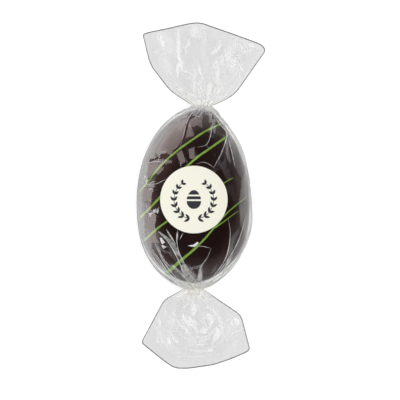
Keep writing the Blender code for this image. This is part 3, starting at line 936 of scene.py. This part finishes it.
def add(tree, kind, **values):
    """Adds a shader node. Names in small letters are its properties, and the others are its inputs.

    An input goes by its name or, as _0, by its number. It takes a value, another node's output, or a
    node, which stands for its first output.
    """
    node = tree.nodes.new("ShaderNode" + kind)
    for name, value in values.items():
        if name.islower():
            setattr(node, name, value)
            continue
        socket = node.inputs[int(name[1:]) if name[0] == "_" else name.replace("_", " ")]
        if isinstance(value, bpy.types.Node):
            value = value.outputs[0]
        if isinstance(value, bpy.types.NodeSocket):
            tree.links.new(value, socket)
        else:
            socket.default_value = value
    return node


LEVEL_ENDS = {"interpolation_type": "SMOOTHSTEP"}  # makes MapRange a smooth_step()
FILM_ROUGHNESS = 0.07
LOOSE_MIRROR, CLINGING_MIRROR = 0.55, 1.5  # how much more film mirrors edge on than straight on
ONE_FACE = 0.4  # what clinging film mirrors straight on, as a share of what loose film does
ONWARDS = 0.3  # how much of the light that whitened film scatters goes on through it


def new_material(name):
    """A material, its empty node tree, and an output with the place on the piece, in metres."""
    material = bpy.data.materials.new(name)
    material.use_nodes = True
    tree = material.node_tree
    tree.nodes.clear()
    return material, tree, add(tree, "TexCoord").outputs["Object"]


def film_shader(tree, place, clear, edge_on, mirror, whitened, haze="#FFFFFF", **normal):
    """Thin film: it lets light through, mirrors some, and where it is whitened scatters it both ways.

    Towards the egg's +X side it clings to the chocolate, so that only its outer face mirrors there, and
    that little but edge on. Loose film mirrors more and more of the light as it turns edge on.
    """
    facing = add(tree, "LayerWeight", Blend=0.5).outputs["Facing"]
    slant = add(tree, "Math", operation="POWER", _0=facing, _1=4.0)
    slight_slant = add(tree, "Math", operation="POWER", _0=facing, _1=2.0)
    loose = add(tree, "Math", operation="MULTIPLY_ADD", _0=slight_slant, _1=LOOSE_MIRROR, _2=mirror)
    clinging = add(
        tree, "Math", operation="MULTIPLY_ADD", _0=slant, _1=CLINGING_MIRROR, _2=ONE_FACE * mirror
    )
    sideways = add(tree, "VectorMath", operation="DOT_PRODUCT", _0=place, _1=CLINGING_WAY)
    cling = add(
        tree, "MapRange", **LEVEL_ENDS, Value=sideways.outputs["Value"],
        From_Min=CLINGING_FROM * MM, From_Max=CLINGING_ALL * MM, To_Max=handled(tree, place, 1.0, 0.0),
    )
    share = add(tree, "Mix", _0=cling, _2=loose, _3=clinging)
    tint = add(tree, "Mix", data_type="RGBA", _0=slant, _6=linear(clear), _7=linear(edge_on))
    dimmed = add(tree, "Mix", data_type="RGBA", _0=slant, _6=linear("#FFFFFF"), _7=linear("#8E8E8E"))
    through = add(tree, "BsdfTransparent", Color=tint.outputs[2])
    gloss = add(tree, "BsdfAnisotropic", Color=dimmed.outputs[2], Roughness=FILM_ROUGHNESS, **normal)
    film = add(tree, "MixShader", _0=share, _1=through, _2=gloss)
    front = add(tree, "BsdfDiffuse", Color=linear(haze))
    back = add(tree, "BsdfTranslucent", Color=linear(haze))
    # White scatter: whitened film; on the folds, glint plates and flared-end streaks it is a painted
    # highlight.
    white_scatter = add(tree, "MixShader", _0=ONWARDS, _1=front, _2=back)
    both = add(tree, "MixShader", _0=whitened, _1=film, _2=white_scatter)
    add(tree, "OutputMaterial", Surface=both)


def handled(tree, place, over_egg_value, in_tail_value):
    """A value that changes from the smooth film over the egg to the crumpled film of the flared ends."""
    along_egg = add(tree, "SeparateXYZ", Vector=place).outputs["Y"]
    distance = add(tree, "Math", operation="ABSOLUTE", _0=along_egg)
    return add(
        tree, "MapRange", **LEVEL_ENDS, Value=distance, From_Min=SMOOTH_UP_TO * MM,
        From_Max=CRUMPLED_FROM * MM, To_Min=over_egg_value, To_Max=in_tail_value,
    )


def pressed(tree, place, most):
    """A value that is highest in the gathered film just past the two necks, and 0 a little way off."""
    halfway = (POINTED_LENGTH - BLUNT_LENGTH) / 2 * MM
    just_past = ((POINTED_LENGTH + BLUNT_LENGTH) / 2 + NECK_REACH / 6) * MM
    along_egg = add(tree, "SeparateXYZ", Vector=place).outputs["Y"]
    from_halfway = add(tree, "Math", operation="SUBTRACT", _0=along_egg, _1=halfway)
    distance = add(tree, "Math", operation="ABSOLUTE", _0=from_halfway)
    past_neck = add(tree, "Math", operation="SUBTRACT", _0=distance, _1=just_past)
    off_neck = add(tree, "Math", operation="ABSOLUTE", _0=past_neck)
    return add(
        tree, "MapRange", **LEVEL_ENDS, Value=off_neck, From_Max=NECK_REACH * MM,
        To_Min=most, To_Max=0.0,
    )


def flow(tree, place):
    """Where a point lies along the lines in which the flared ends were crumpled.

    In the pointed end they run out from the neck, and in the blunt end they swirl round its middle.
    """
    ways = []
    for (x, y), (turn_scale, reach_scale) in ((PINCH, FLOW_ROUND_PINCH), (SWIRL, FLOW_ROUND_SWIRL)):
        offset = add(tree, "VectorMath", operation="SUBTRACT", _0=place, _1=(x * MM, y * MM, 0.0))
        split = add(tree, "SeparateXYZ", Vector=offset).outputs
        turn = add(tree, "Math", operation="ARCTAN2", _0=split["X"], _1=split["Y"])
        level = add(tree, "VectorMath", operation="MULTIPLY", _0=offset, _1=(1.0, 1.0, 0.0))
        reach = add(tree, "VectorMath", operation="LENGTH", _0=level).outputs["Value"]
        both = add(tree, "CombineXYZ", X=turn, Y=reach)
        scales = (turn_scale, reach_scale / MM, 1.0)
        ways.append(add(tree, "VectorMath", operation="MULTIPLY", _0=both, _1=scales))
    along_egg = add(tree, "SeparateXYZ", Vector=place).outputs["Y"]
    blunt = add(tree, "Math", operation="LESS_THAN", _0=along_egg, _1=0.0)
    return add(tree, "Mix", data_type="VECTOR", _0=blunt, _4=ways[0], _5=ways[1]).outputs[1]


def clear_film():
    """Polypropylene film a few hundredths of a millimetre thick, extruded glass clear.

    It mirrors a fourteenth of the light at right angles and most of it edge on, and each layer greys
    what is behind it a little. Its flared ends are crumpled, and the facets between the folds glint.
    The white streaks along their crumpled lines are painted highlights; where the film is pressed
    together at the necks it is whitened.
    """
    material, tree, place = new_material("clear_polypropylene_film")
    # Facets about 11 mm across, with bent edges.
    drift = add(tree, "TexNoise", Vector=place, Scale=1 / (9 * MM), Detail=2.0).outputs[1]
    bent = add(tree, "VectorMath", operation="MULTIPLY_ADD", _0=drift, _1=(7 * MM,) * 3, _2=place)
    cells = add(tree, "TexVoronoi", feature="DISTANCE_TO_EDGE", Vector=bent, Scale=1 / (11 * MM))
    sharpness = handled(tree, place, 0.03, 0.3)
    normal = add(tree, "Bump", Height=cells, Strength=sharpness, Distance=0.7 * MM)
    streaks = add(tree, "TexNoise", Vector=flow(tree, place), Scale=1.0, Detail=1.0, Roughness=0.5)
    # Painted highlights: white streaks along the crumpling lines in the flared ends.
    painted_streaks = add(
        tree, "MapRange", **LEVEL_ENDS, Value=streaks, From_Min=0.45, From_Max=0.75,
        To_Max=handled(tree, place, 0.0, 0.35),
    )
    whitened = add(tree, "Math", operation="MAXIMUM", _0=painted_streaks, _1=pressed(tree, place, 0.95))
    film_shader(tree, place, "#F2F2F2", "#8C8C8A", 0.07, whitened, Normal=normal)
    return material


def creased_film_painted_highlights():
    """The same film along its sharp folds, with white painted there as a highlight where the fold glints."""
    material, tree, place = new_material("creased_polypropylene_film_painted_highlights")
    painted_highlight = add(tree, "Attribute", attribute_name="painted_highlight").outputs["Fac"]
    broken = add(tree, "TexNoise", Vector=place, Scale=1 / (2.2 * MM), Detail=3.0)
    least = handled(tree, place, 0.4, 0.85)
    strength = add(tree, "MapRange", Value=broken, From_Min=0.36, From_Max=0.66, To_Min=least)
    # Painted highlight: how white the folds and glint plates are painted.
    whitened = add(tree, "Math", operation="MULTIPLY", _0=painted_highlight, _1=strength)
    film_shader(tree, place, "#FFFFFF", "#E8E8E8", 0.02, whitened)
    return material


def gathered_film():
    """Several layers of the film pressed together in a pleat, faintly yellow where they are thickest."""
    material, tree, place = new_material("gathered_polypropylene_film")
    streaks = add(tree, "TexNoise", Vector=place, Scale=1 / (2.4 * MM), Detail=1.0)
    least = pressed(tree, place, 0.9)
    most = add(tree, "Math", _0=pressed(tree, place, 0.65), _1=0.3)
    whitened = add(tree, "MapRange", Value=streaks, From_Min=0.3, From_Max=0.7, To_Min=least, To_Max=most)
    film_shader(tree, place, "#F8F8F2", "#DADAD2", 0.05, whitened, haze="#FCFBF4")
    return material


def film_edge():
    """The edge of the film, where one looks into it lengthways: grey, as light inside it is lost."""
    material, tree, place = new_material("polypropylene_film_edge")
    film_shader(tree, place, "#A6A6A6", "#8C8C8C", 0.10, 0.15)
    return material


def mottled(name, patch, detail, first, second, **finish):
    """An opaque material of two close colours that change over about this many millimetres."""
    material, tree, place = new_material(name)
    cloud = add(tree, "TexNoise", Vector=place, Scale=1 / (patch * MM), Detail=detail)
    colour = add(tree, "Mix", data_type="RGBA", _0=cloud, _6=linear(first), _7=linear(second))
    shader = add(tree, "BsdfPrincipled", Base_Color=colour.outputs[2], **finish)
    add(tree, "OutputMaterial", Surface=shader)
    return material


def dark_chocolate():
    """Tempered dark chocolate, poured over the marzipan: nearly black brown, with a soft satin gloss."""
    gloss = {"Roughness": 0.3, "IOR": 1.46, "Specular_Tint": linear("#FFD4CC")}
    return mottled("tempered_dark_chocolate", 9, 3.0, "#1A0C0B", "#251412", **gloss)


def green_icing():
    """White chocolate coloured leaf green, piped warm and set to a satin skin."""
    return mottled("green_icing", 3, 2.0, "#86B33C", "#9CCA52", Roughness=0.4)


def label_paper():
    """Uncoated cream label paper: matt, with a faint fibre grain."""
    return mottled("cream_label_paper", 0.8, 4.0, "#F3F1E1", "#F8F6E8", Roughness=0.7)


def printing_ink():
    """Offset printing ink on the label: a thin blue-black layer, a little glossier than the paper."""
    return mottled("blue_black_ink", 0.5, 3.0, "#202128", "#33343C", Roughness=0.5)


# ---- table, light and camera


def make_table():
    """A white light table, lit more strongly from below beside the egg on its -X side."""
    material, tree, place = new_material("white_table")
    eastward = add(tree, "SeparateXYZ", Vector=place).outputs["X"]
    (west, strong), (east, weak) = TABLE_GLOW
    glow = add(
        tree, "MapRange", **LEVEL_ENDS, Value=eastward, From_Min=west * MM,
        From_Max=east * MM, To_Min=strong, To_Max=weak,
    )
    shader = add(
        tree, "BsdfPrincipled", Base_Color=linear("#AEAEAE"), Roughness=0.9,
        Emission_Color=linear("#FFFFFF"), Emission_Strength=glow,
    )
    add(tree, "OutputMaterial", Surface=shader)
    corners = [(x, y, 0) for x, y in ((-TABLE, -TABLE), (TABLE, -TABLE), (TABLE, TABLE), (-TABLE, TABLE))]
    new_piece("table", corners, [(0, 1, 2, 3)], material)


def make_room():
    """Pale walls that fade to a dark ceiling over the camera. The wall on the +X side is darker."""
    world = bpy.data.worlds.new("studio")
    bpy.context.scene.world = world
    world.use_nodes = True
    tree = world.node_tree
    tree.nodes.clear()
    direction = add(tree, "SeparateXYZ", Vector=add(tree, "TexCoord").outputs["Generated"]).outputs
    ramp = add(tree, "ValToRGB", Fac=direction["Z"])
    stops = ramp.color_ramp.elements
    for height, _ in WALL_GREYS[1:-1]:
        stops.new(height)
    for stop, (height, grey) in zip(stops, WALL_GREYS):
        stop.position = height
        stop.color = (grey, grey, grey, 1)
    strength = add(tree, "MapRange", Value=direction["X"], From_Max=0.7, To_Min=1.0, To_Max=0.28)
    sky = add(tree, "Background", Color=ramp, Strength=strength)
    add(tree, "OutputWorld", Surface=sky)


def add_lamp(name, polar, azimuth, size, radiance, colour="#FFFFFF", lean=0, distance=0.75, mirrored=True):
    """A flat lamp that faces the egg. It shows either in reflections alone or on surfaces alone.

    Polar is from straight up and azimuth from +X, in degrees, and its size and distance in metres.
    """
    lamp = bpy.data.lights.new(name, "AREA")
    lamp.shape = "RECTANGLE"
    lamp.size, lamp.size_y = size
    lamp.energy = radiance * math.pi * size[0] * size[1]
    lamp.color = linear(colour)[:3]
    holder = bpy.data.objects.new(name, lamp)
    bpy.context.scene.collection.objects.link(holder)
    direction = Vector(towards(polar, azimuth))
    turned = Quaternion((0, 0, 1), math.radians(lean))
    holder.location = direction * distance + Vector((0, 0, AXIS_HEIGHT * MM))
    holder.rotation_mode = "QUATERNION"
    holder.rotation_quaternion = direction.to_track_quat("Z", "Y") @ turned
    holder.visible_camera = False
    holder.visible_glossy = mirrored
    holder.visible_diffuse = not mirrored


def make_camera():
    """Straight above the egg, with a very long lens."""
    camera = bpy.data.cameras.new("camera")
    camera.lens = LENS
    camera.sensor_width = SENSOR_WIDTH
    camera.clip_start, camera.clip_end = 0.01, 20
    holder = bpy.data.objects.new("camera", camera)
    bpy.context.scene.collection.objects.link(holder)
    height = FIELD * LENS / SENSOR_WIDTH + AXIS_HEIGHT
    holder.location = (VIEW_MIDDLE[0] * MM, VIEW_MIDDLE[1] * MM, height * MM)
    bpy.context.scene.camera = holder


film_rows, film_surface = make_film()
make_folds(film_surface)
make_pleats()
make_edges(film_rows)
make_egg()
make_icing()
make_label()
make_label_print()
make_table()
make_room()
for lamp_row in MIRRORED_LAMPS:
    add_lamp(*lamp_row)
add_lamp("ceiling_fill", 5, 0, (1.4, 1.4), 2.9, distance=1.2, mirrored=False)
make_camera()
bpy.context.scene.view_settings.view_transform = "Standard"
